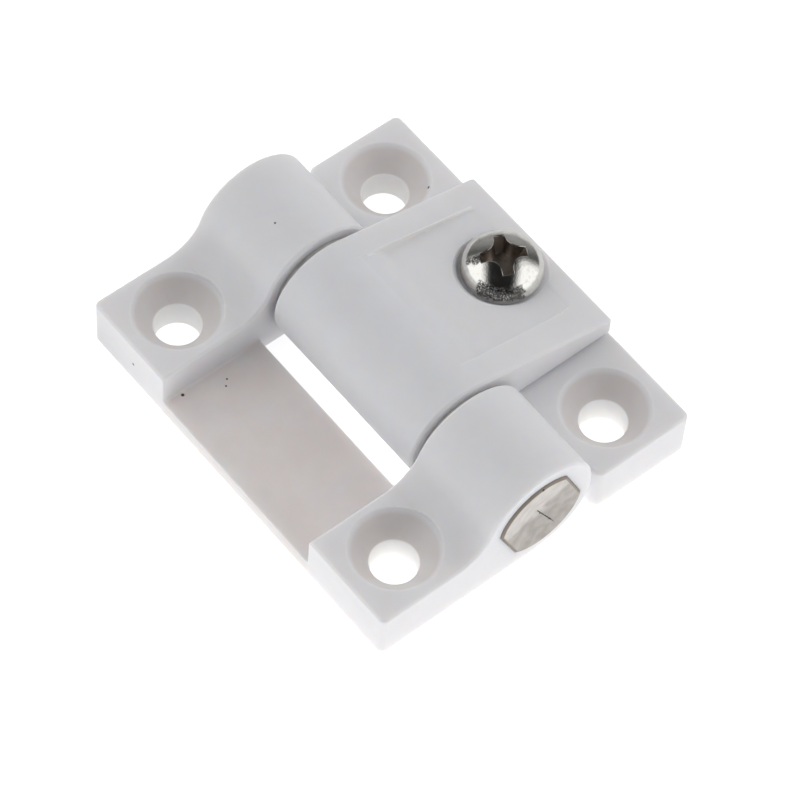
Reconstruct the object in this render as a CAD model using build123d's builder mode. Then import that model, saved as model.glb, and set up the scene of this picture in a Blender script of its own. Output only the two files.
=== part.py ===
"""Adjustable friction hinge: two moulded leaves, a keyed pin and a clamp screw.

The fork leaf holds the pin in double-D holes, so the pin turns with it.
The clamp leaf's split barrel grips the round sides of the pin, and the
adjusting screw draws the jaw above the split down towards the leaf.

Frame: X along the pin, Y across the leaves with the clamp leaf at +Y, Z up.
The origin is on the base plane, below the middle of the pin.  Millimetres.
"""
import os
from math import acos, atan2, cos, degrees, hypot, radians, sin, sqrt, tan

from build123d import *

# Leaves
leaf_length = 63.5          # along the pin
leaf_width = 26.75          # from the pin's axis to a leaf's outer edge
pad_thickness = 8.15        # countersunk pads at the ends of both leaves
plate_thickness = 2.5       # thin middle of the fork leaf
plate_corner = 0.5          # hollow corners where the thin plate meets the pads
corner_radius = 1.0         # upright corners of the leaves
inner_corner_radius = 1.5   # those of the clamp leaf next to the knuckles
edge_break = 0.35           # moulded top edges

# Knuckles and barrel
knuckle_radius = 9.15       # just touches the base plane
knuckle_gap = 32.0          # opening between the fork's two knuckles
end_play = 1.0              # free space at each end of the barrel
barrel_inset = 0.5          # barrel's outside below the knuckles'
barrel_wall = 1.55          # thin enough to flex as the clamp closes
blend_radius = 6.0          # hollow sweep from a pad up to its knuckle
window_gap = 1.3            # between the barrel and the fork's thin plate

# Pin, which fills the bore of the barrel
pin_across_flats = 11.9
pin_tilt = 24.6             # the flats' normal, above +Y
pin_proud = 0.35            # each end stands out of its knuckle
pin_chamfer = 0.3
dimple_depth = 1.05         # hollow in each end, whose sides run in from the flats and rounds
dimple_floor = 0.04         # size of its floor against its mouth
score_width = 0.15          # fine mould line in the near end
score_length = 5.0
score_turn = 7.0            # off square to the flats
score_depth = 0.1
running_clearance = 0.05    # pin in the barrel
key_clearance = 0.05        # pin in the knuckles

# Clamp block
pad_setback = 1.15          # clamp leaf's pads behind the knuckles
ramp_rear_height = 11.55    # top of the block at the leaf's outer edge
slit_gap = 0.4
heel_offset = 2.5           # where the clamp leaf's base starts, behind the axis
recess_width = 21.0         # at the recess floor
recess_draft = 5.0
recess_round = 0.8
seat_height = 12.4          # floor of the recess, under the screw's head
boss_diameter = 13.3
screw_offset = 19.35        # screw axis behind the pin axis
rear_round = 0.8

# Mounting holes
hole_spacing = 47.5         # along the pin, on each leaf
hole_offset = 18.3          # from the pin axis
hole_diameter = 6.75
countersink_diameter = 12.9
countersink_angle = 82.0

# Adjusting screw and nut
screw_diameter = 6.0
screw_length = 12.0
screw_tip_chamfer = 0.7
head_diameter = 11.66
head_height = 4.4
head_rim = 0.6              # height of the head's widest line over its seat
head_side_radius = 2.9
cross_span = 7.5            # across the wings, level with the crown
cross_width = 1.7
cross_hollow = 1.8          # rounding between the wings
cross_depth = 3.2
cross_draft = 5.0
cross_slope = 28.0          # outer ends of the wings, from the screw's axis
cross_turn = 63.0           # how the recess happens to stand
nut_across_flats = 10.0
nut_thickness = 5.0
nut_chamfer_angle = 30.0
nut_setback = 0.3
nut_clearance = 0.1
hole_clearance = 0.3        # screw in the jaw and the leaf
thread_clearance = 0.05
head_clearance = 0.03

# Worked out from the sizes above
axis_height = knuckle_radius
half_length = leaf_length / 2
half_gap = knuckle_gap / 2
half_barrel = half_gap - end_play
barrel_radius = knuckle_radius - barrel_inset
bore_radius = barrel_radius - barrel_wall
pin_radius = bore_radius - running_clearance
plate_edge = barrel_radius + window_gap
pad_front = knuckle_radius + pad_setback
jaw_bottom = pad_thickness + slit_gap
pin_end = half_length + pin_proud
screw_hole_radius = screw_diameter / 2 + hole_clearance
nut_top = nut_setback + nut_thickness
head_seat = seat_height + head_clearance
head_radius = head_diameter / 2

# The hollow sweep's centre, tangent to the pad's top and to the knuckle
sweep_z = pad_thickness + blend_radius
sweep_y = -sqrt((knuckle_radius + blend_radius) ** 2 - (sweep_z - axis_height) ** 2)
sweep_angle = degrees(atan2(sweep_z - axis_height, sweep_y))

# Where the block's straight ramp leaves the barrel's round
ramp_rise = ramp_rear_height - axis_height
ramp_angle = atan2(ramp_rise, leaf_width) + acos(barrel_radius / hypot(ramp_rise, leaf_width))
ramp_y = barrel_radius * cos(ramp_angle)
ramp_z = axis_height + barrel_radius * sin(ramp_angle)


def lowest_point(edge):
    return edge.bounding_box().min.Z


def countersunk_holes(offset):
    """The two screw holes of one leaf."""
    with Locations((0, offset, pad_thickness)):
        with GridLocations(hole_spacing, 0, 2, 1):
            CounterSinkHole(
                radius=hole_diameter / 2,
                counter_sink_radius=countersink_diameter / 2,
                counter_sink_angle=countersink_angle,
            )


def upright_section(height):
    """Plane through the screw's axis that profiles are drawn on, from this height up."""
    return Plane(origin=(0, screw_offset, height), x_dir=(1, 0, 0), z_dir=(0, -1, 0))


def double_d(clearance, share=1.0):
    """Section of the pin, with room for a fit all round, or a smaller copy of it."""
    Circle(share * (pin_radius + clearance))
    Rectangle(
        share * (pin_across_flats + 2 * clearance),
        4 * pin_radius,
        rotation=pin_tilt,
        mode=Mode.INTERSECT,
    )


# One knuckle of the fork leaf
with BuildPart() as knuckle:
    with BuildSketch(Plane.YZ.offset(half_gap)):
        with Locations((0, axis_height)):
            Circle(knuckle_radius)
    extrude(amount=half_length - half_gap)
    chamfer(knuckle.edges().filter_by(GeomType.CIRCLE), length=edge_break)

# Fork leaf: two pads that sweep up into knuckles, with a thin plate between
with BuildPart() as fork_leaf:
    with BuildSketch(Plane.YZ.offset(half_gap)):
        with BuildLine():
            hollow = CenterArc((sweep_y, sweep_z), blend_radius, sweep_angle - 180, 90 - sweep_angle)
            Polyline(
                hollow @ 1,
                (-leaf_width, pad_thickness),
                (-leaf_width, 0),
                (0, 0),
                (0, axis_height),
                hollow @ 0,
            )
        make_face()
    extrude(amount=half_length - half_gap)
    outer_corners = fork_leaf.edges().filter_by(Axis.Z).group_by(Axis.Y)[0]
    fillet(outer_corners.sort_by(Axis.X)[-1], radius=corner_radius)
    curved_edges = fork_leaf.edges().filter_by(GeomType.LINE, reverse=True)
    chamfer(curved_edges.filter_by(lambda e: lowest_point(e) > plate_thickness), length=edge_break)
    add(knuckle.part)
    mirror(about=Plane.YZ)
    with BuildSketch():
        with Locations((0, -leaf_width)):
            base = Rectangle(leaf_length, leaf_width, align=(Align.CENTER, Align.MIN))
            fillet(base.vertices().group_by(Axis.Y)[0], radius=corner_radius)
        with Locations((0, -plate_edge)):
            Rectangle(knuckle_gap, plate_edge, align=(Align.CENTER, Align.MIN), mode=Mode.SUBTRACT)
    extrude(amount=plate_thickness)
    long_edges = fork_leaf.edges().filter_by(Axis.Y)
    fillet(long_edges.filter_by_position(Axis.Z, plate_thickness, plate_thickness), radius=plate_corner)
    with BuildSketch(Plane.YZ.offset(-half_length)):
        with Locations((0, axis_height)):
            double_d(key_clearance)
    extrude(amount=leaf_length, mode=Mode.SUBTRACT)
    countersunk_holes(-hole_offset)

# Hollow of the clamp block, whose front wall is the barrel itself
recess_height = axis_height + barrel_radius - seat_height
with BuildPart() as recess:
    with BuildSketch(Plane.XY.offset(seat_height)):
        with Locations((0, leaf_width)):
            Rectangle(recess_width, 2 * leaf_width)
    extrude(amount=recess_height, taper=-recess_draft)
    with Locations((0, 0, axis_height)):
        Cylinder(barrel_radius, leaf_length, rotation=(0, 90, 0), mode=Mode.SUBTRACT)
    floor_edges = recess.faces().sort_by(Axis.Z)[0].edges()
    fillet(floor_edges.sort_by(Axis.Y)[:-1], radius=recess_round)

# Countersunk part of the clamp leaf
with BuildPart() as clamp_pads:
    with BuildSketch():
        with Locations((0, (pad_front + leaf_width) / 2)):
            Rectangle(leaf_length, leaf_width - pad_front)
    extrude(amount=pad_thickness)
    fillet(clamp_pads.edges().filter_by(Axis.Z).group_by(Axis.Y)[-1], radius=corner_radius)
    fillet(clamp_pads.edges().filter_by(Axis.Z).group_by(Axis.Y)[0], radius=inner_corner_radius)
    chamfer(clamp_pads.faces().sort_by(Axis.Z)[-1].edges(), length=edge_break)

# Clamp leaf: the split barrel and its jaw, moulded on the countersunk part
with BuildPart() as clamp_leaf:
    with BuildSketch(Plane.YZ):
        with BuildLine():
            Polyline(
                (ramp_y, ramp_z),
                (leaf_width, ramp_rear_height),
                (leaf_width, jaw_bottom),
                (0, jaw_bottom),
                close=True,
            )
        make_face()
        with Locations((0, axis_height)):
            Circle(barrel_radius)
    extrude(amount=half_barrel, both=True)
    rear_top_edge = clamp_leaf.edges().filter_by(Axis.X).group_by(Axis.Y)[-1].sort_by(Axis.Z)[-1]
    fillet(rear_top_edge, radius=rear_round)
    for end_face in clamp_leaf.faces().filter_by(Axis.X):
        chamfer(end_face.edges(), length=edge_break)
    add(recess.part, mode=Mode.SUBTRACT)
    with BuildSketch(Plane.XY.offset(jaw_bottom)):
        with Locations((0, screw_offset)):
            Circle(boss_diameter / 2)
    extrude(amount=seat_height - jaw_bottom)
    with Locations((0, heel_offset, 0)):
        Box(
            2 * half_barrel,
            pad_front + edge_break - heel_offset,
            pad_thickness,
            align=(Align.CENTER, Align.MIN, Align.MIN),
        )
    add(clamp_pads.part)
    with Locations((0, leaf_width / 2, pad_thickness + slit_gap / 2)):
        Box(leaf_length, leaf_width, slit_gap, mode=Mode.SUBTRACT)
    with Locations((0, 0, axis_height)):
        Cylinder(bore_radius, leaf_length, rotation=(0, 90, 0), mode=Mode.SUBTRACT)
    with Locations((0, screw_offset, seat_height)):
        Hole(screw_hole_radius)
    with BuildSketch():
        with Locations((0, screw_offset)):
            RegularPolygon(nut_across_flats / 2 + nut_clearance, 6, major_radius=False)
    extrude(amount=nut_top, mode=Mode.SUBTRACT)
    countersunk_holes(hole_offset)

# Hinge pin: the same double-D section from end to end
dimple_slope = dimple_depth / (pin_radius - pin_chamfer)
score_angle = radians(pin_tilt - 90 + score_turn)
score_y, score_z = cos(score_angle), sin(score_angle)
with BuildPart() as hinge_pin:
    with BuildSketch(Plane.YZ.offset(-pin_end)):
        with Locations((0, axis_height)):
            double_d(0)
    extrude(amount=2 * pin_end)
    chamfer(hinge_pin.faces().filter_by(Axis.X).edges(), length=pin_chamfer)
    for side in (-1, 1):
        with BuildSketch(Plane.YZ.offset(side * pin_end)):
            with Locations((0, axis_height)):
                double_d(-pin_chamfer)
        with BuildSketch(Plane.YZ.offset(side * (pin_end - dimple_depth))):
            with Locations((0, axis_height)):
                double_d(-pin_chamfer, share=dimple_floor)
        loft(ruled=True, mode=Mode.SUBTRACT)
    # The mould line runs from the middle of the near end, down the slope of its hollow
    score_plane = Plane(
        origin=(pin_end - dimple_depth, 0, axis_height),
        x_dir=(dimple_slope, score_y, score_z),
        z_dir=(1, -dimple_slope * score_y, -dimple_slope * score_z),
    )
    with Locations(score_plane):
        Box(
            score_length,
            score_width,
            2 * score_depth,
            align=(Align.MIN, Align.CENTER, Align.CENTER),
            mode=Mode.SUBTRACT,
        )

# The head's crown runs tangent into its rounded side
side_centre = head_radius - head_side_radius
side_height = head_height - head_rim
dome_span = side_centre**2 + side_height**2 - head_side_radius**2
dome_radius = dome_span / (2 * (side_height - head_side_radius))
dome_centre = head_height - dome_radius
side_angle = degrees(atan2(head_rim - dome_centre, side_centre))
screw_axis = Axis((0, screw_offset, 0), (0, 0, 1))
wing_direction = (cos(radians(cross_turn)), sin(radians(cross_turn)), 0)
crown = (0, screw_offset, head_seat + head_height)
crown_plane = Plane(origin=crown, x_dir=wing_direction, z_dir=(0, 0, 1))

# Cross recess: four wings whose outer ends slope in towards the screw's axis
with BuildPart() as cross:
    with BuildSketch(crown_plane) as wings:
        Rectangle(cross_span, cross_width)
        Rectangle(cross_width, cross_span)
        fillet(wings.vertices().sort_by_distance((0, 0, 0))[:4], radius=cross_hollow)
    extrude(amount=-cross_depth, taper=cross_draft)
    with Locations(crown_plane):
        Cone(
            cross_span / 2 - cross_depth * tan(radians(cross_slope)),
            cross_span / 2,
            cross_depth,
            align=(Align.CENTER, Align.CENTER, Align.MAX),
            mode=Mode.INTERSECT,
        )

# Adjusting screw: pan head and shank, the thread left plain
with BuildPart() as adjusting_screw:
    with BuildSketch(upright_section(head_seat)):
        with BuildLine():
            dome = CenterArc((0, dome_centre), dome_radius, 90, side_angle - 90)
            side = CenterArc((side_centre, head_rim), head_side_radius, side_angle, -side_angle)
            Polyline(
                side @ 1,
                (head_radius - head_rim / 2, 0),
                (screw_diameter / 2, 0),
                (screw_diameter / 2, screw_tip_chamfer - screw_length),
                (screw_diameter / 2 - screw_tip_chamfer, -screw_length),
                (0, -screw_length),
                dome @ 0,
            )
        make_face()
    revolve(axis=screw_axis)
    add(cross.part, mode=Mode.SUBTRACT)

# Captive nut, its corners chamfered on both faces
nut_reach = nut_across_flats / sqrt(3)
nut_bevel = (nut_reach - nut_across_flats / 2) * tan(radians(nut_chamfer_angle))
with BuildPart() as clamp_nut:
    with BuildSketch(Plane.XY.offset(nut_setback)):
        with Locations((0, screw_offset)):
            RegularPolygon(nut_across_flats / 2, 6, major_radius=False)
    extrude(amount=nut_thickness)
    with BuildSketch(upright_section(nut_setback)):
        Polygon(
            (0, 0),
            (nut_across_flats / 2, 0),
            (nut_reach, nut_bevel),
            (nut_reach, nut_thickness - nut_bevel),
            (nut_across_flats / 2, nut_thickness),
            (0, nut_thickness),
            align=None,
        )
    revolve(axis=screw_axis, mode=Mode.INTERSECT)
    with Locations((0, screw_offset, nut_top)):
        Hole(screw_diameter / 2 + thread_clearance)

os.makedirs("parts", exist_ok=True)
for piece, name in (
    (fork_leaf, "fork_leaf"),
    (clamp_leaf, "clamp_leaf"),
    (hinge_pin, "hinge_pin"),
    (adjusting_screw, "adjusting_screw"),
    (clamp_nut, "clamp_nut"),
):
    piece.part.label = name
    export_step(piece.part, f"parts/{name}.step")
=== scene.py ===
import math

import bmesh
import bpy
from mathutils import Matrix, Vector


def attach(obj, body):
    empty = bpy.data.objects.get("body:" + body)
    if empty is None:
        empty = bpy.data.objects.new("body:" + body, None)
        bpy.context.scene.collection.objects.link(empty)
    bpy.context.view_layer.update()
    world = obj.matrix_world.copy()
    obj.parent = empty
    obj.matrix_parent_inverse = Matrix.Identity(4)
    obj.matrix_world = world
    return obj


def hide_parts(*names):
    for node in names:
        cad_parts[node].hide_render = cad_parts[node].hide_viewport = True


millimetre = 0.001
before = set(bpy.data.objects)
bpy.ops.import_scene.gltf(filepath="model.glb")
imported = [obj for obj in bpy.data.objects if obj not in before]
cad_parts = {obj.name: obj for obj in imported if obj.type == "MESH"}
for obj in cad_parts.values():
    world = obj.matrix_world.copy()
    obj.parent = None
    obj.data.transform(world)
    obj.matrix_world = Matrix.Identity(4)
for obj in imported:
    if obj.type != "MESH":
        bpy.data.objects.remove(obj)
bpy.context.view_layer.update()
scene = bpy.context.scene
print("frame loaded")


class Channel:
    # One value on its way through a node tree, so that shader maths reads as plain sums
    def __init__(self, bench, node, socket):
        self.bench = bench
        self.node = node
        self.socket = socket

    def output(self, name):
        return Channel(self.bench, self.node, self.node.outputs[name])

    def combine(self, operation, first, second=0.0):
        return self.bench.node("ShaderNodeMath", {"operation": operation}, {0: first, 1: second})

    def __add__(self, other):
        return self.combine("ADD", self, other)

    def __radd__(self, other):
        return self.combine("ADD", other, self)

    def __sub__(self, other):
        return self.combine("SUBTRACT", self, other)

    def __rsub__(self, other):
        return self.combine("SUBTRACT", other, self)

    def __mul__(self, other):
        return self.combine("MULTIPLY", self, other)

    def __rmul__(self, other):
        return self.combine("MULTIPLY", other, self)

    def __truediv__(self, other):
        return self.combine("DIVIDE", self, other)

    def __rtruediv__(self, other):
        return self.combine("DIVIDE", other, self)

    def __abs__(self):
        return self.combine("ABSOLUTE", self)

    def root(self):
        return self.combine("SQRT", self)

    def larger(self, other):
        return self.combine("MAXIMUM", self, other)

    def ramp(self, start, end, low=0.0, high=1.0):
        # low up to start, high from end on, smooth between; start may be the larger one
        return self.bench.node(
            "ShaderNodeMapRange",
            {"interpolation_type": "SMOOTHSTEP"},
            {"Value": self, "From Min": start, "From Max": end, "To Min": low, "To Max": high},
        )


class Bench:
    # A node tree and the one way its nodes are made
    def __init__(self, tree):
        self.nodes = tree.nodes
        self.links = tree.links
        self.nodes.clear()

    def node(self, kind, settings, values):
        made = self.nodes.new(kind)
        for name, value in settings.items():
            setattr(made, name, value)
        for name, value in values.items():
            if isinstance(value, Channel):
                self.links.new(value.socket, made.inputs[name])
            else:
                made.inputs[name].default_value = value
        return Channel(self, made, made.outputs[0] if made.outputs else None)

    def measured(self, operation, *vectors):
        # One number from one or two vectors
        settings = {"operation": operation}
        return self.node("ShaderNodeVectorMath", settings, dict(enumerate(vectors))).output("Value")

    def mixed(self, amount, first, second):
        # Colours by Mix; a plain colour is three numbers
        colours = [c if isinstance(c, Channel) else (*c, 1.0) for c in (first, second)]
        mix = self.node("ShaderNodeMix", {"data_type": "RGBA"}, {0: amount, 6: colours[0], 7: colours[1]})
        return mix.output(2)

    def places(self):
        # Object coordinates in millimetres, whole and as x, y and z
        coordinates = self.node("ShaderNodeTexCoord", {}, {}).output("Object")
        whole = self.node("ShaderNodeMapping", {}, {"Vector": coordinates, "Scale": (1000, 1000, 1000)})
        parts = self.node("ShaderNodeSeparateXYZ", {}, {"Vector": whole})
        return whole, parts.output("X"), parts.output("Y"), parts.output("Z")

    def near(self, where, spot, size):
        # One on a spot, nothing from its size outwards
        return self.measured("DISTANCE", where, spot).ramp(size, size * 0.6)

    def rounded(self, width):
        return self.node("ShaderNodeBevel", {"samples": 6}, {"Radius": width * millimetre})

    def edges(self, width):
        # One on edges as wide as given, nothing on plain surfaces
        normal = self.node("ShaderNodeNewGeometry", {}, {}).output("Normal")
        return self.measured("DOT_PRODUCT", self.rounded(width), normal).ramp(0.998, 0.93)

    def noise(self, where, scale, detail=2.0):
        return self.node("ShaderNodeTexNoise", {}, {"Vector": where, "Scale": scale, "Detail": detail})

    def bump(self, height, strength, depth, base=None):
        values = {"Height": height, "Strength": strength, "Distance": depth * millimetre}
        if base:
            values["Normal"] = base
        return self.node("ShaderNodeBump", {}, values)


def newMaterial(name):
    material = bpy.data.materials.new(name)
    material.use_nodes = True
    return material, Bench(material.node_tree)


def surface(bench, sockets):
    # The shader that every finish of the object ends in
    shader = bench.node("ShaderNodeBsdfPrincipled", {}, sockets)
    bench.node("ShaderNodeOutputMaterial", {}, {"Surface": shader})


def milky(milk):
    # How far light runs on below the surface of a plastic
    return {
        "Subsurface Weight": milk["weight"],
        "Subsurface Radius": milk["colours"],
        "Subsurface Scale": milk["depth"] * millimetre,
        "IOR": milk["refraction"],
    }


# Finishes. Sizes and places are in millimetres along the frame's axes; specks, chips and spots are
# each a place and a size
leafFinish = {
    "white": (0.86, 0.86, 0.885),
    "shade": (0.845, 0.84, 0.86),
    "warmShade": (0.70, 0.64, 0.60),
    "paintedLight": (0.99, 0.99, 0.985),
    "edgeHighlight": (0.97, 0.97, 0.98),
    "coneShade": 0.55,
    "plateShade": 0.32,
    "highlightWidth": 0.4,
    "mottleScale": 0.22,
    "grainScale": 5.0,
    "grainDepth": 0.02,
    "roughness": 0.36,
    "milk": {"weight": 0.7, "colours": (1.0, 0.85, 0.7), "depth": 2.2, "refraction": 1.48},
    "holeSpacing": 47.5,
    "holeOffset": 18.3,
    "coneRadius": 6.45,
    "wallRadius": 3.375,
    "padTop": 8.15,
    "plateTop": 2.5,
    "plateHalf": 16.0,
    "plateFrom": -9.0,
    "plateFade": 1.5,
    "ledge": {
        "outer": 10.9,
        "inner": 10.5,
        "from": 3.9,
        "to": 22.9,
        "above": 12.0,
        "fade": 0.4,
        "rise": 0.3,
    },
    "dust": (0.05, 0.045, 0.04),
    "specks": (
        ((-15.3, -23.85, 2.5), 0.3),
        ((-19.35, 22.43, 7.68), 0.25),
        ((-22.64, -26.75, 3.89), 0.25),
        ((-13.71, -17.45, 2.5), 0.18),
        ((-12.88, -18.25, 2.5), 0.18),
        ((-22.05, -2.99, 17.79), 0.18),
    ),
}


def makeLeafPlastic():
    # Satin white moulding. Painted shade makes the countersinks and the thin plate warmer and darker,
    # standing in for the shade in the cones and the light that thin milky plastic lets through; painted
    # light brightens the holes' walls, a slope along the recess's far wall and the edges
    material, bench = newMaterial("leafPlastic")
    where, x, y, z = bench.places()
    fromHoleX = abs(x) - leafFinish["holeSpacing"] / 2
    fromHoleY = abs(y) - leafFinish["holeOffset"]
    fromHole = (fromHoleX * fromHoleX + fromHoleY * fromHoleY).root()
    # Neither the top face round a hole nor the underside gets the painted shade
    inCone = (
        z.ramp(leafFinish["padTop"] - 0.1, leafFinish["padTop"] - 0.8)
        * z.ramp(leafFinish["plateTop"] - leafFinish["plateFade"], leafFinish["plateTop"])
        * fromHole.ramp(leafFinish["coneRadius"] + 0.1, leafFinish["coneRadius"] - 0.8)
    )
    onPlate = (
        z.ramp(leafFinish["plateTop"] + 0.9, leafFinish["plateTop"] + 0.2)
        * abs(x).ramp(leafFinish["plateHalf"] + 0.4, leafFinish["plateHalf"] - 1.0)
        * y.ramp(leafFinish["plateFrom"], leafFinish["plateFrom"] - leafFinish["plateFade"])
    )
    mottle = bench.noise(where, leafFinish["mottleScale"]).ramp(0.3, 0.7)
    grain = bench.noise(where, leafFinish["grainScale"])
    # Painted shade: warmer and darker in the countersinks and on the thin plate
    paintedShade = inCone * leafFinish["coneShade"] + onPlate * leafFinish["plateShade"]
    tint = bench.mixed(
        paintedShade * (0.75 + 0.25 * mottle),
        bench.mixed(mottle, leafFinish["white"], leafFinish["shade"]),
        leafFinish["warmShade"],
    )
    # Painted light: the holes' walls are painted near-white, standing in for light coming up through the
    # holes
    litWall = fromHole.ramp(leafFinish["wallRadius"] + 0.16, leafFinish["wallRadius"] + 0.02)
    # Painted light on the slope along the far wall of the recess
    ledge = leafFinish["ledge"]
    outward = x * -1.0
    litLedge = (
        outward.ramp(ledge["inner"] - 0.1, ledge["inner"] + 0.05)
        * outward.ramp(ledge["outer"] + 0.05, ledge["outer"] - 0.02)
        * y.ramp(ledge["from"], ledge["from"] + ledge["fade"])
        * y.ramp(ledge["to"], ledge["to"] - ledge["fade"])
        * z.ramp(ledge["above"], ledge["above"] + ledge["rise"])
    )
    # Painted light on the holes' walls and the far-wall slope
    tint = bench.mixed(litWall.larger(litLedge), tint, leafFinish["paintedLight"])
    # Painted highlight: edges are painted lighter, as if they caught the light
    highlightMask = bench.edges(leafFinish["highlightWidth"]) * (0.6 + 0.4 * mottle)
    tint = bench.mixed(highlightMask, tint, leafFinish["edgeHighlight"])
    for spot, size in leafFinish["specks"]:
        tint = bench.mixed(bench.near(where, spot, size), tint, leafFinish["dust"])
    surface(bench, {
        "Base Color": tint,
        "Roughness": leafFinish["roughness"] + 0.08 * mottle + 0.06 * grain,
        "Normal": bench.bump(grain, 0.12, leafFinish["grainDepth"]),
        **milky(leafFinish["milk"]),
    })
    return material


pinTilt = math.radians(24.6)
pinFinish = {
    "pale": (0.735, 0.70, 0.665),
    "shade": (0.44, 0.405, 0.37),
    "edge": (0.27, 0.22, 0.175),
    "axisHeight": 9.15,
    "tilt": pinTilt,
    "halfFlats": 5.95,
    "radius": 7.05,
    "chamfer": 0.3,
    "end": 32.1,
    "endInset": 0.8,
    "mottleScale": 0.6,
    "grainScale": 6.0,
    "grainDepth": 0.02,
    "roughness": 0.42,
    "milk": {"weight": 0.25, "colours": (1.0, 0.8, 0.6), "depth": 1.5, "refraction": 1.5},
    "score": (0.05, 0.04, 0.03),
    "scoreFrom": 31.0,
    "scoreTurn": pinTilt - math.radians(83),
    "scoreLength": 5.0,
    "scoreWidth": 0.11,
    "scoreSpots": (((32.03, -0.35, 15.95), 0.22), ((31.54, 1.98, 5.88), 0.22), ((31.2, 0.5, 8.2), 0.2)),
}


def makePinPlastic():
    # Natural moulding; painted shade makes the chamfer round each end dark brown and the lower facets of
    # its hollow darker
    material, bench = newMaterial("pinPlastic")
    where, x, y, z = bench.places()
    upright = z - pinFinish["axisHeight"]
    across = y * math.cos(pinFinish["tilt"]) + upright * math.sin(pinFinish["tilt"])
    along = upright * math.cos(pinFinish["tilt"]) - y * math.sin(pinFinish["tilt"])
    radius = (across * across + along * along).root()
    fromRim = (radius - (pinFinish["radius"] - pinFinish["chamfer"])).larger(
        abs(across) - (pinFinish["halfFlats"] - pinFinish["chamfer"])
    )
    endFrom = pinFinish["end"] - pinFinish["endInset"]
    onEnd = abs(x).ramp(endFrom - 0.2, endFrom)
    # Painted shade: the chamfer round each end is painted dark brown, standing in for the shadowed gap
    # between pin and bore
    edge = fromRim.ramp(-0.06, 0.04) * onEnd
    # Painted shade: the lower facets of the hollow are painted darker
    lowerFacetShade = (along * -1.0 + 0.35 * abs(across)).ramp(-0.4, 0.6) * onEnd
    mottle = bench.noise(where, pinFinish["mottleScale"], 3.0).ramp(0.3, 0.7)
    grain = bench.noise(where, pinFinish["grainScale"])
    body = bench.mixed(mottle * 0.4 + lowerFacetShade * 0.6, pinFinish["pale"], pinFinish["shade"])
    body = bench.mixed(edge * 0.9, body, pinFinish["edge"])
    # The score line runs out from the axis, broken here and there
    down = y * math.cos(pinFinish["scoreTurn"]) + upright * math.sin(pinFinish["scoreTurn"])
    beside = upright * math.cos(pinFinish["scoreTurn"]) - y * math.sin(pinFinish["scoreTurn"])
    breaks = bench.noise(where, 1.6).ramp(0.38, 0.5, 0.35, 1.0)
    line = abs(beside).ramp(pinFinish["scoreWidth"], 0.5 * pinFinish["scoreWidth"])
    line = line * down.ramp(-0.1, 0.1) * down.ramp(pinFinish["scoreLength"], pinFinish["scoreLength"] - 0.3)
    line = line * x.ramp(pinFinish["scoreFrom"] - 0.1, pinFinish["scoreFrom"])
    body = bench.mixed(line * breaks, body, pinFinish["score"])
    for spot, size in pinFinish["scoreSpots"]:
        body = bench.mixed(bench.near(where, spot, size), body, pinFinish["score"])
    surface(bench, {
        "Base Color": body,
        "Roughness": pinFinish["roughness"] + 0.1 * grain,
        "Normal": bench.bump(grain, 0.15, pinFinish["grainDepth"]),
        **milky(pinFinish["milk"]),
    })
    return material


steelFinish = {
    "bright": (0.79, 0.78, 0.745),
    "worn": (0.50, 0.48, 0.44),
    "pitAndReflection": (0.03, 0.027, 0.025),
    "inside": (0.36, 0.30, 0.26),
    "skirt": (0.64, 0.635, 0.63),
    "roughness": 0.12,
    "axis": (0.0, 19.35, 0.0),
    "domeCentre": (0.0, 19.35, 8.71),
    "domeRadius": 8.12,
    "crossReach": 4.1,
    "crossBottom": 13.0,
    "rimHeight": 13.3,
    "grainDepth": 0.04,
    "darkSide": (0.731, -0.682, 0.0),
    "darkShare": (0.76, 0.84),
    "darkFrom": (13.2, 13.5),
    "darkTo": (15.35, 15.05),
    "raggedScale": 1.4,
    "raggedShare": 0.5,
    "raggedHeight": 1.2,
    "speckleScale": 6.5,
    "mottleScale": 1.1,
    "grainScales": (3.5, 11.0),
    "chips": (((-1.75, 15.9, 15.8), 0.8), ((-2.5, 15.2, 15.3), 0.6), ((-2.6, 16.4, 15.4), 0.45)),
    "highlightWidth": 0.2,
}


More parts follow.
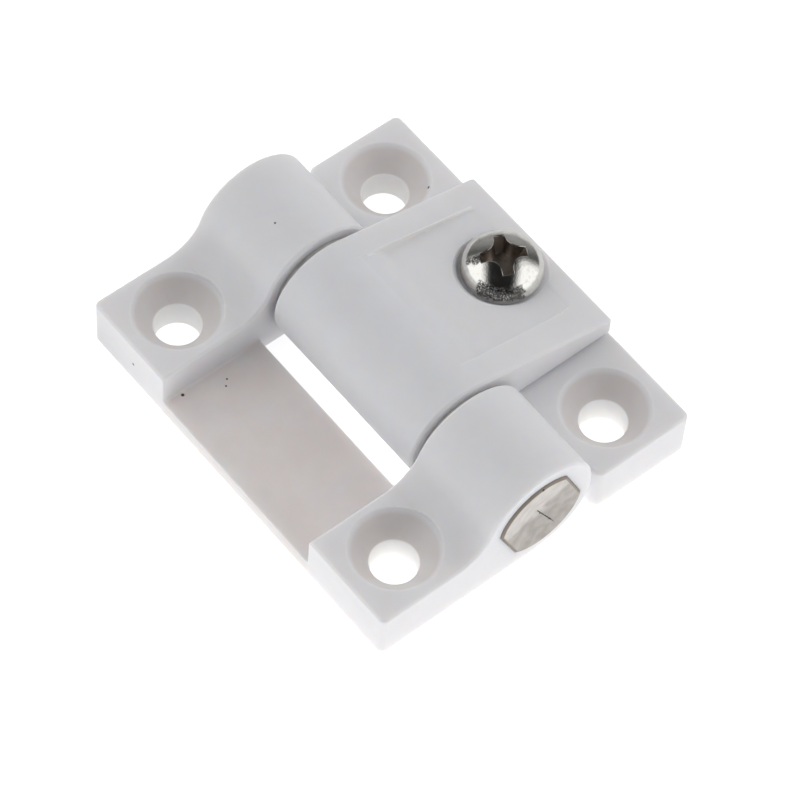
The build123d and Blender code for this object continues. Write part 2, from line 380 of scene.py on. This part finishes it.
def makePlatedSteel():
    # Bright plate, chipped where tools have slipped, with a near-black speckled crescent on the front side
    # that is partly pitting and partly a painted dark reflection; dull and brown inside the cross
    material, bench = newMaterial("platedSteel")
    where, x, y, z = bench.places()
    level = bench.node("ShaderNodeVectorMath", {"operation": "MULTIPLY"}, {0: where, 1: (1, 1, 0)})
    values = {0: level, 1: steelFinish["axis"]}
    offset = bench.node("ShaderNodeVectorMath", {"operation": "SUBTRACT"}, values)
    fromAxis = bench.measured("LENGTH", offset)
    frontness = bench.measured("DOT_PRODUCT", offset, steelFinish["darkSide"]) / fromAxis
    depth = steelFinish["domeRadius"] - bench.measured("DISTANCE", where, steelFinish["domeCentre"])
    inside = (
        depth.ramp(0.10, 0.35)
        * fromAxis.ramp(steelFinish["crossReach"], steelFinish["crossReach"] - 0.2)
        * z.ramp(steelFinish["crossBottom"] - 0.1, steelFinish["crossBottom"] + 0.1)
    )
    # A ragged crescent round the side that faces the front, between two heights: partly pitting, partly a
    # painted dark reflection of the front
    ragged = bench.noise(where, steelFinish["raggedScale"], 4.0) - 0.5
    pitsAndDarkReflection = (
        (frontness + steelFinish["raggedShare"] * ragged).ramp(*steelFinish["darkShare"])
        * (z + steelFinish["raggedHeight"] * ragged).ramp(*steelFinish["darkFrom"])
        * z.ramp(*steelFinish["darkTo"])
    )
    for spot, size in steelFinish["chips"]:
        pitsAndDarkReflection = pitsAndDarkReflection.larger(bench.near(where, spot, size))
    pitsAndDarkReflection = pitsAndDarkReflection * (1.0 - inside)
    speckle = bench.noise(where, steelFinish["speckleScale"], 3.0).ramp(0.41, 0.45)
    mottle = bench.noise(where, steelFinish["mottleScale"], 5.0).ramp(0.45, 0.75)
    coarse, fine = steelFinish["grainScales"]
    grain = bench.noise(where, coarse, 4.0) + 0.6 * bench.noise(where, fine, 2.0)
    skirt = z.ramp(steelFinish["rimHeight"] + 0.3, steelFinish["rimHeight"] - 0.3)
    plate = bench.mixed(mottle * 0.45, steelFinish["bright"], steelFinish["worn"])
    plate = bench.mixed(skirt, plate, steelFinish["skirt"])
    # The crescent, partly a painted dark reflection, and the chips are painted near-black with speckles
    plate = bench.mixed(pitsAndDarkReflection * speckle * 0.9, plate, steelFinish["pitAndReflection"])
    rough = grain + 2.0 * pitsAndDarkReflection * speckle
    edgeHighlight = bench.rounded(steelFinish["highlightWidth"])
    surface(bench, {
        "Base Color": bench.mixed(inside * (0.8 + 0.2 * mottle), plate, steelFinish["inside"]),
        "Metallic": 1.0,
        "Roughness": steelFinish["roughness"] + 0.08 * mottle + 0.2 * skirt + 0.2 * inside + 0.1 * pitsAndDarkReflection,
        "Normal": bench.bump(rough, 0.3, steelFinish["grainDepth"], edgeHighlight),
    })
    return material


leafPlastic = makeLeafPlastic()
pinPlastic = makePinPlastic()
platedSteel = makePlatedSteel()
print("materials made")

# How meshes are cleaned and their edges rounded; the angles are between neighbouring faces
meshCare = {
    "weld": 0.002 * millimetre,
    "flatAngle": math.radians(0.6),
    "sharpAngle": math.radians(24),
    "foldAngle": math.radians(125),
    "foldRoom": 0.6 * millimetre,
    "attempts": 5,
    "roundSegments": 2,
    "faceWeight": 50,
}


def newPiece(name, mesh):
    piece = bpy.data.objects.new(name, mesh)
    scene.collection.objects.link(piece)
    return piece


def closedPiece(name, shape):
    # A closed shape made a piece, with its faces turned outwards
    bmesh.ops.recalc_face_normals(shape, faces=shape.faces)
    mesh = bpy.data.meshes.new(name)
    shape.to_mesh(mesh)
    shape.free()
    return newPiece(name, mesh)


def welded(mesh):
    # Doubles merged, flat neighbours joined, faces outward and creases marked
    shape = bmesh.new()
    shape.from_mesh(mesh)
    bmesh.ops.remove_doubles(shape, verts=shape.verts, dist=meshCare["weld"])
    bmesh.ops.dissolve_limit(shape, angle_limit=meshCare["flatAngle"], verts=shape.verts, edges=shape.edges)
    bmesh.ops.recalc_face_normals(shape, faces=shape.faces)
    for face in shape.faces:
        face.smooth = True
        face.material_index = 0
    for edge in shape.edges:
        edge.smooth = edge.calc_face_angle(0.0) < meshCare["sharpAngle"]
    shape.to_mesh(mesh)
    shape.free()
    return mesh


def weldedCopy(nodeName, pieceName):
    # The node's loose triangles, merged and joined into whole flat faces
    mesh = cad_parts[nodeName].data.copy()
    mesh.name = pieceName
    mesh.materials.clear()
    return newPiece(pieceName, welded(mesh))


def applied(piece):
    # The piece with its modifiers turned into a plain mesh
    graph = bpy.context.evaluated_depsgraph_get()
    mesh = bpy.data.meshes.new_from_object(piece.evaluated_get(graph))
    piece.modifiers.clear()
    piece.data = mesh
    return piece


def combined(piece, tool, operation):
    # Piece and tool added or subtracted; the tool is used up
    boolean = piece.modifiers.new("combined", "BOOLEAN")
    boolean.operation = operation
    boolean.solver = "EXACT"
    boolean.object = tool
    applied(piece)
    bpy.data.objects.remove(tool)
    return piece


def foldPlaces(mesh):
    # Where neighbouring faces of a rounded mesh lie back on each other
    shape = bmesh.new()
    shape.from_mesh(mesh)
    places = [
        (edge.verts[0].co + edge.verts[1].co) / 2
        for edge in shape.edges
        if edge.calc_face_angle(0.0) > meshCare["foldAngle"]
    ]
    shape.free()
    return places


def shaded(piece):
    # Doubles left by the rounds merged; large faces keep their own shading up to the rounds
    shape = bmesh.new()
    shape.from_mesh(piece.data)
    bmesh.ops.remove_doubles(shape, verts=shape.verts, dist=meshCare["weld"] / 2)
    bmesh.ops.dissolve_degenerate(shape, dist=meshCare["weld"] / 2, edges=shape.edges)
    shape.to_mesh(piece.data)
    shape.free()
    weighted = piece.modifiers.new("shading", "WEIGHTED_NORMAL")
    weighted.weight = meshCare["faceWeight"]
    weighted.keep_sharp = True
    return applied(piece)


def roundEdges(piece, width, leftPlain=None):
    # Small rounds on sharp edges, left out where a round would fold over itself
    mesh = piece.data
    shape = bmesh.new()
    shape.from_mesh(mesh)
    middles = [(edge.verts[0].co + edge.verts[1].co) / 2 for edge in shape.edges]
    sharp = [edge.calc_face_angle(0.0) > meshCare["sharpAngle"] for edge in shape.edges]
    shape.free()
    weights = [
        1.0 if isSharp and not (leftPlain and leftPlain(middle / millimetre)) else 0.0
        for middle, isSharp in zip(middles, sharp)
    ]
    layer = mesh.attributes.new("bevel_weight_edge", "FLOAT", "EDGE")
    bevel = piece.modifiers.new("edges", "BEVEL")
    bevel.width = width * millimetre
    bevel.segments = meshCare["roundSegments"]
    bevel.limit_method = "WEIGHT"
    bevel.use_clamp_overlap = False
    bevel.loop_slide = False
    bevel.miter_outer = "MITER_ARC"
    for attempt in range(meshCare["attempts"]):
        layer.data.foreach_set("value", weights)
        mesh.update()
        graph = bpy.context.evaluated_depsgraph_get()
        trial = bpy.data.meshes.new_from_object(piece.evaluated_get(graph))
        folds = foldPlaces(trial)
        bpy.data.meshes.remove(trial)
        print(piece.name, "rounded with", len(folds), "folds")
        if not folds:
            break
        for index, middle in enumerate(middles):
            if weights[index] and min((middle - fold).length for fold in folds) < meshCare["foldRoom"]:
                weights[index] = 0.0
    return applied(piece)


def handOver(piece, node, body, material):
    # The finish, which the node wears too; then the node is hidden, as the piece stands for it, and the
    # piece joins its body
    piece.data.materials.clear()
    piece.data.materials.append(material)
    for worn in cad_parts[node].material_slots:
        worn.material = material
    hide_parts(node)
    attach(piece, body)
    print(piece.name, "has", len(piece.data.polygons), "faces")


# The clamp block's recess, in millimetres: a shallow floor that falls with the ramp, sinks over a
# bend behind the front edge and runs out at the end, with a flared dish under the screw's head
recess = {
    "halfWidth": 11.15,
    "rampStart": (2.05, 17.55),
    "rampSlope": -0.2429,
    "start": 2.6,
    "bendStart": 4.4,
    "bend": 3.0,
    "fadeStart": 7.0,
    "fading": 3,
    "end": 22.9,
    "lip": 0.1,
    "depth": 0.8,
    "steps": 60,
    "underside": 12.0,
    "boreAxis": 9.15,
    "boreClear": 7.5,
    "slopeTop": 10.85,
    "slopeFoot": 10.55,
    "dishCentre": (0.0, 19.35),
    "dishRadius": 6.15,
    "dishFloor": 12.4,
    "dishRise": 3.6,
    "dishFlare": (0.25, 0.097),
    "dishRings": 12,
    "dishSegments": 96,
}


def rampHeight(y):
    return recess["rampStart"][1] + recess["rampSlope"] * (y - recess["rampStart"][0])


def floorHeight(y):
    share = min(1.0, max(0.0, (y - recess["bendStart"]) / recess["bend"]))
    along = max(0.0, (y - recess["fadeStart"]) / (recess["end"] - recess["fadeStart"]))
    sinking = share * share * (3 - 2 * share) * (1 - along ** recess["fading"])
    return rampHeight(y) - recess["lip"] - (recess["depth"] - recess["lip"]) * sinking


def roundTurn(count):
    # Angles spaced evenly over a whole turn
    return [2 * math.pi * step / count for step in range(count)]


def loft(name, outlines):
    # Matching outlines joined by walls, closed at both ends
    shape = bmesh.new()
    rings = [
        [shape.verts.new([value * millimetre for value in point]) for point in outline]
        for outline in outlines
    ]
    shape.faces.new(rings[0])
    shape.faces.new(rings[-1])
    for lower, upper in zip(rings, rings[1:]):
        for step in range(len(lower)):
            after = (step + 1) % len(lower)
            shape.faces.new((lower[step], lower[after], upper[after], upper[step]))
    return closedPiece(name, shape)


def recessFloor():
    # What raises the solid's deep recess to the shallow floor. It keeps clear of the pin's bore
    # and rises to a narrow slope along the far wall
    places = [
        recess["start"] + (recess["end"] - recess["start"]) * step / recess["steps"]
        for step in range(recess["steps"] + 1)
    ]
    axis, clear = recess["boreAxis"], recess["boreClear"]
    below = [
        (y, max(recess["underside"], axis + math.sqrt(max(0.0, clear * clear - y * y))))
        for y in reversed(places)
    ]
    low = [(y, floorHeight(y)) for y in places] + below
    high = [(y, rampHeight(y) - recess["lip"] / 2) for y in places] + below
    half, top, foot = recess["halfWidth"], recess["slopeTop"], recess["slopeFoot"]
    return loft("recessFloor", [
        [(x, y, z) for y, z in outline]
        for x, outline in ((-half, high), (-top, high), (-foot, low), (half, low))
    ])


def headDish():
    # Flared cutter that makes room for the screw's head
    x, y = recess["dishCentre"]
    steep, flat = recess["dishFlare"]
    rings = []
    for step in range(recess["dishRings"] + 1):
        rise = recess["dishRise"] * step / recess["dishRings"]
        radius = recess["dishRadius"] + steep * rise + flat * rise ** 3
        rings.append([
            (x + radius * math.cos(angle), y + radius * math.sin(angle), recess["dishFloor"] + rise)
            for angle in roundTurn(recess["dishSegments"])
        ])
    return loft("headDish", rings)


def shapeRecess(piece):
    # Cut before any edge is rounded, because rounded edges upset the cuts
    piece = combined(piece, recessFloor(), "UNION")
    piece = combined(piece, headDish(), "DIFFERENCE")
    welded(piece.data)
    return piece


def insideRecess(place):
    # The recess's own edges stay crisp
    return (
        abs(place.x) < recess["halfWidth"]
        and recess["start"] < place.y < recess["end"]
        and recess["underside"] < place.z < rampHeight(place.y) + recess["lip"] / 2
    )


# Pieces made from a copy of a node; edge is the width of the round on their edges
mouldings = {
    "forkLeaf": {
        "node": "fork_leaf",
        "body": "fork_side",
        "slot": "leaf_plastic",
        "material": leafPlastic,
        "edge": 0.1,
    },
    "clampLeaf": {
        "node": "clamp_leaf",
        "body": "clamp_side",
        "slot": "leaf_plastic",
        "material": leafPlastic,
        "edge": 0.105,
        "shape": shapeRecess,
        "leftPlain": insideRecess,
    },
    "hingePin": {
        "node": "hinge_pin",
        "body": "fork_side",
        "slot": "pin_plastic",
        "material": pinPlastic,
        "edge": 0.06,
    },
    "clampNut": {
        "node": "clamp_nut",
        "body": "clamp_side",
        "slot": "plated_steel",
        "material": platedSteel,
        "edge": 0.08,
    },
}
for pieceName, choice in mouldings.items():
    piece = weldedCopy(choice["node"], pieceName)
    if "shape" in choice:
        piece = choice["shape"](piece)
    piece = shaded(roundEdges(piece, choice["edge"], choice.get("leftPlain")))
    handOver(piece, choice["node"], choice["body"], choice["material"])

# The screw in millimetres, turned to the solid's own profile but much finer
screwHead = {
    "centre": (0.0, 19.35),
    "seat": 12.43,
    "radius": 5.83,
    "height": 4.4,
    "rim": 0.6,
    "sideRadius": 2.9,
    "shankRadius": 2.62,
    "segments": 192,
    "crownSteps": 24,
    "sideSteps": 24,
    "rimSteps": 6,
    "tip": -12.0,
    "tipChamfer": 0.7,
    "crossSpan": 7.5,
    "crossWidth": 1.7,
    "crossHollow": 1.8,
    "crossLayers": (-0.6, 0.0, 0.6, 1.2, 1.8, 2.4, 3.2),
    "crossWings": 4,
    "wingEndSteps": 3,
    "hollowSteps": 12,
    "crossDraft": math.radians(5),
    "crossSlope": math.radians(28),
    "crossTurn": math.radians(63),
    "crossEdge": 0.11,
}


def screwProfile(settings):
    # From the crown, whose arc runs tangent into the rounded side, to the seat, the shank and its tip
    sideCentre = settings["radius"] - settings["sideRadius"]
    sideRise = settings["height"] - settings["rim"]
    span = sideCentre**2 + sideRise**2 - settings["sideRadius"]**2
    domeRadius = span / (2 * (sideRise - settings["sideRadius"]))
    domeCentre = settings["height"] - domeRadius
    meeting = math.atan2(sideCentre, settings["rim"] - domeCentre)
    points = [(0.0, settings["height"])]
    for step in range(1, settings["crownSteps"] + 1):
        angle = meeting * step / settings["crownSteps"]
        points.append((domeRadius * math.sin(angle), domeCentre + domeRadius * math.cos(angle)))
    for step in range(1, settings["sideSteps"] + 1):
        angle = meeting + (math.pi / 2 - meeting) * step / settings["sideSteps"]
        points.append((
            sideCentre + settings["sideRadius"] * math.sin(angle),
            settings["rim"] + settings["sideRadius"] * math.cos(angle),
        ))
    for step in range(1, settings["rimSteps"] + 1):
        angle = math.pi / 2 * step / settings["rimSteps"]
        points.append((
            settings["radius"] - settings["rim"] / 2 * (1 - math.cos(angle)),
            settings["rim"] - settings["rim"] * math.sin(angle),
        ))
    shank, tip, chamfer = (settings[name] for name in ("shankRadius", "tip", "tipChamfer"))
    return points + [(shank, 0.0), (shank, tip + chamfer), (shank - chamfer, tip), (0.0, tip)]


def turned(profile, settings, name):
    # Rings of points round the screw's axis, closed where the profile meets the axis
    shape = bmesh.new()
    count = settings["segments"]
    x, y = settings["centre"]
    rings = []
    for radius, height in profile:
        z = settings["seat"] + height
        rings.append([
            shape.verts.new((
                (x + radius * math.cos(angle)) * millimetre,
                (y + radius * math.sin(angle)) * millimetre,
                z * millimetre,
            ))
            for angle in (roundTurn(count) if radius else [0.0])
        ])
    for upper, lower in zip(rings, rings[1:]):
        for step in range(count):
            after = (step + 1) % count
            if len(upper) == 1:
                shape.faces.new((upper[0], lower[step], lower[after]))
            elif len(lower) == 1:
                shape.faces.new((upper[step], lower[0], upper[after]))
            else:
                shape.faces.new((upper[step], lower[step], lower[after], upper[after]))
    for face in shape.faces:
        face.smooth = True
    return closedPiece(name, shape)


def crossOutline(settings, depth):
    # Outline of the wings at a depth below the crown: a rounded end, then a hollow to the next wing
    inset = depth * math.tan(settings["crossDraft"])
    half = settings["crossWidth"] / 2 - inset
    reach = settings["crossSpan"] / 2 - depth * math.tan(settings["crossSlope"])
    hollow = settings["crossHollow"] + inset
    steps = settings["wingEndSteps"]
    endAngles = [math.asin(half / reach) * step / steps for step in range(-steps, steps + 1)]
    wing = [(reach * math.cos(angle), reach * math.sin(angle)) for angle in endAngles]
    steps = settings["hollowSteps"]
    hollowAngles = [math.pi / 2 * step / steps for step in range(1, steps)]
    wing += [
        (half + hollow - hollow * math.sin(angle), half + hollow - hollow * math.cos(angle))
        for angle in hollowAngles
    ]
    x, y = settings["centre"]
    turns = [settings["crossTurn"] + angle for angle in roundTurn(settings["crossWings"])]
    return [
        (
            x + across * math.cos(turn) - along * math.sin(turn),
            y + across * math.sin(turn) + along * math.cos(turn),
        )
        for turn in turns
        for across, along in wing
    ]


def crossCutter(settings):
    # The cross narrows from above the crown down to its floor
    top = settings["seat"] + settings["height"]
    return loft("crossCutter", [
        [(x, y, top - depth) for x, y in crossOutline(settings, depth)]
        for depth in settings["crossLayers"]
    ])


screw = turned(screwProfile(screwHead), screwHead, "adjustingScrew")
screw = combined(screw, crossCutter(screwHead), "DIFFERENCE")
# No creases are left, so that shading runs on over the rounds
for edge in screw.data.edges:
    edge.use_edge_sharp = False
screw = shaded(roundEdges(screw, screwHead["crossEdge"]))

# Sizes of the wound thread in millimetres, and how finely it is drawn
thread = {"Radius": 2.62, "Pitch": 1.0, "Length": 10.6, "Depth": 0.37, "Start": 0.9}
threadFineness = {"turn": 48, "ridge": 4}


def threadTree(name):
    # A ridge wound round the shank, joined to the screw it is given
    tree = bpy.data.node_groups.new(name, "GeometryNodeTree")
    tree.interface.new_socket("Geometry", in_out="INPUT", socket_type="NodeSocketGeometry")
    for size in thread:
        tree.interface.new_socket(size, in_out="INPUT", socket_type="NodeSocketFloat")
    tree.interface.new_socket("Material", in_out="INPUT", socket_type="NodeSocketMaterial")
    tree.interface.new_socket("Geometry", in_out="OUTPUT", socket_type="NodeSocketGeometry")
    bench = Bench(tree)
    given = bench.node("NodeGroupInput", {}, {})
    radius, pitch, length, depth, start = (given.output(size) * millimetre for size in thread)
    spiral = bench.node("GeometryNodeCurveSpiral", {}, {
        "Resolution": threadFineness["turn"],
        "Rotations": length / pitch,
        "Start Radius": radius,
        "End Radius": radius,
        "Height": length,
    })
    spiral = bench.node("GeometryNodeSetCurveNormal", {"mode": "Z_UP"}, {"Curve": spiral})
    ridge = bench.node("GeometryNodeCurvePrimitiveCircle", {}, {
        "Resolution": threadFineness["ridge"],
        "Radius": depth,
    })
    wound = bench.node("GeometryNodeCurveToMesh", {}, {
        "Curve": spiral,
        "Profile Curve": ridge,
        "Fill Caps": True,
    })
    place = bench.node("ShaderNodeCombineXYZ", {}, {
        "X": screwHead["centre"][0] * millimetre,
        "Y": screwHead["centre"][1] * millimetre,
        "Z": start,
    })
    wound = bench.node("GeometryNodeTransform", {}, {"Geometry": wound, "Translation": place})
    both = bench.node("GeometryNodeJoinGeometry", {}, {"Geometry": given.output("Geometry")})
    bench.links.new(wound.socket, both.node.inputs[0])
    real = bench.node("GeometryNodeRealizeInstances", {}, {"Geometry": both})
    clad = bench.node("GeometryNodeSetMaterial", {}, {
        "Geometry": real,
        "Material": given.output("Material"),
    })
    bench.node("NodeGroupOutput", {}, {"Geometry": clad})
    return tree


winding = screw.modifiers.new("thread", "NODES")
winding.node_group = threadTree("screwThread")
for item in winding.node_group.interface.items_tree:
    if item.in_out == "INPUT" and item.name in thread:
        winding[item.identifier] = thread[item.name]
    elif item.name == "Material":
        winding[item.identifier] = platedSteel
applied(screw)
handOver(screw, "adjusting_screw", "adjuster", platedSteel)

# Floor and light. Frontward points from the object to the side where the camera stands. A pair says
# between which values a light changes, in millimetres on the floor and in shares of a direction above
studio = {
    "floorSize": 6.0,
    "floorColour": (0.88, 0.88, 0.88, 1.0),
    "floorSeen": 0.68,
    "floorGlow": 0.85,
    "floorGlowBehind": 0.3,
    "floorMirrored": 0.15,
    "floorTurn": (-15.0, 15.0),
    "sideways": (0.682, 0.731, 0.0),
    "frontward": (0.731, -0.682, 0.0),
    "behind": 0.5,
    "before": 0.02,
    "behindInGloss": 0.42,
    "beforeInGloss": 0.015,
    "lobeLow": 0.88,
    "lobeHigh": 1.24,
    "lobeBefore": 0.35,
    "lobeInGloss": 1.5,
    "lowBehind": 0.35,
    "surroundTurn": (-0.6, 0.6),
    "glossTurn": (-1.0, -0.45),
    "lobeEdge": (0.26, 0.42),
    "lobeRise": (0.0, 0.9),
    "lobeTurn": (0.3, 0.85),
    "lowRise": (0.0, 0.5),
    "lowTurn": (0.0, -0.3),
    "panelEdge": (0.42, 0.62),
    "panelBack": (-0.6, -0.25),
    "panelFront": (0.85, 0.5),
}


def makeFloor():
    # White paper that glows, less behind the object; the camera and reflections see a glow of their own
    half = studio["floorSize"] / 2
    mesh = bpy.data.meshes.new("floor")
    corners = [(-half, -half, 0), (half, -half, 0), (half, half, 0), (-half, half, 0)]
    mesh.from_pydata(corners, [], [(0, 1, 2, 3)])
    material, bench = newMaterial("floor")
    path = bench.node("ShaderNodeLightPath", {}, {})
    seen = path.output("Is Camera Ray").larger(path.output("Is Transmission Ray"))
    paper = bench.node("ShaderNodeBsdfDiffuse", {}, {"Color": studio["floorColour"]})
    where = bench.places()[0]
    ahead = bench.measured("DOT_PRODUCT", where, studio["frontward"])
    glow = ahead.ramp(*studio["floorTurn"], studio["floorGlowBehind"], studio["floorGlow"])
    strength = glow + seen * (studio["floorSeen"] - glow)
    strength = strength + path.output("Is Glossy Ray") * (studio["floorMirrored"] - glow)
    light = bench.node("ShaderNodeEmission", {}, {"Strength": strength})
    both = bench.node("ShaderNodeAddShader", {}, {0: paper, 1: light})
    bench.node("ShaderNodeOutputMaterial", {}, {"Surface": both})
    mesh.materials.append(material)
    newPiece("floor", mesh)


def makeLight():
    # Two long soft lights, left and right of the camera, and a dim surround between them;
    # in reflections the lights are smaller and brighter panels
    world = bpy.data.worlds.new("studio")
    scene.world = world
    world.use_nodes = True
    bench = Bench(world.node_tree)
    direction = bench.node("ShaderNodeTexCoord", {}, {}).output("Generated")
    sideways, frontward = (
        bench.measured("DOT_PRODUCT", direction, studio[name]) for name in ("sideways", "frontward")
    )
    height = bench.node("ShaderNodeSeparateXYZ", {}, {0: direction}).output("Z")
    path = bench.node("ShaderNodeLightPath", {}, {})
    mirrored = path.output("Is Glossy Ray")
    surround = frontward.ramp(*studio["surroundTurn"], studio["behind"], studio["before"])
    lobe = (
        abs(sideways).ramp(*studio["lobeEdge"])
        * height.ramp(*studio["lobeRise"], studio["lobeLow"], studio["lobeHigh"])
        * frontward.ramp(*studio["lobeTurn"], 1.0, studio["lobeBefore"])
    )
    dim = frontward.ramp(*studio["glossTurn"], studio["behindInGloss"], studio["beforeInGloss"])
    panel = (
        abs(sideways).ramp(*studio["panelEdge"])
        * frontward.ramp(*studio["panelBack"])
        * frontward.ramp(*studio["panelFront"])
    )
    low = height.ramp(*studio["lowRise"], studio["lowBehind"], 1.0)
    soft = (surround + lobe) * (1.0 + (low - 1.0) * frontward.ramp(*studio["lowTurn"]))
    hard = dim + panel * studio["lobeInGloss"]
    level = soft + (hard - soft) * mirrored
    level = level + (1.0 - level) * path.output("Is Camera Ray")
    sky = bench.node("ShaderNodeBackground", {}, {"Strength": level})
    bench.node("ShaderNodeOutputWorld", {}, {"Surface": sky})


# Camera, in degrees and millimetres, as fitted to the photo
view = {
    "azimuth": 46.999,
    "elevation": 57.330,
    "roll": 4.883,
    "distance": 564.74,
    "target": (2.140, 0.415, 0.0),
    "lens": 184.62,
    "sensor": 36.0,
    "nearest": 0.01,
}


def makeCamera():
    # Looks at the target from its distance, with the picture rolled about the line of sight
    azimuth, elevation, roll = (math.radians(view[key]) for key in ("azimuth", "elevation", "roll"))
    level = Vector((math.cos(azimuth), math.sin(azimuth), 0.0))
    back = Vector((
        math.sin(azimuth) * math.cos(elevation),
        -math.cos(azimuth) * math.cos(elevation),
        math.sin(elevation),
    ))
    upright = back.cross(level)
    right = math.cos(roll) * level + math.sin(roll) * upright
    up = math.cos(roll) * upright - math.sin(roll) * level
    eye = (Vector(view["target"]) + view["distance"] * back) * millimetre
    data = bpy.data.cameras.new("camera")
    data.lens = view["lens"]
    data.sensor_width = view["sensor"]
    data.clip_start = view["nearest"]
    camera = newPiece("camera", data)
    camera.matrix_world = Matrix((
        (right.x, up.x, back.x, eye.x),
        (right.y, up.y, back.y, eye.y),
        (right.z, up.z, back.z, eye.z),
        (0, 0, 0, 1),
    ))
    scene.camera = camera


makeFloor()
makeLight()
makeCamera()
scene.view_settings.view_transform = "Standard"
print("studio made")
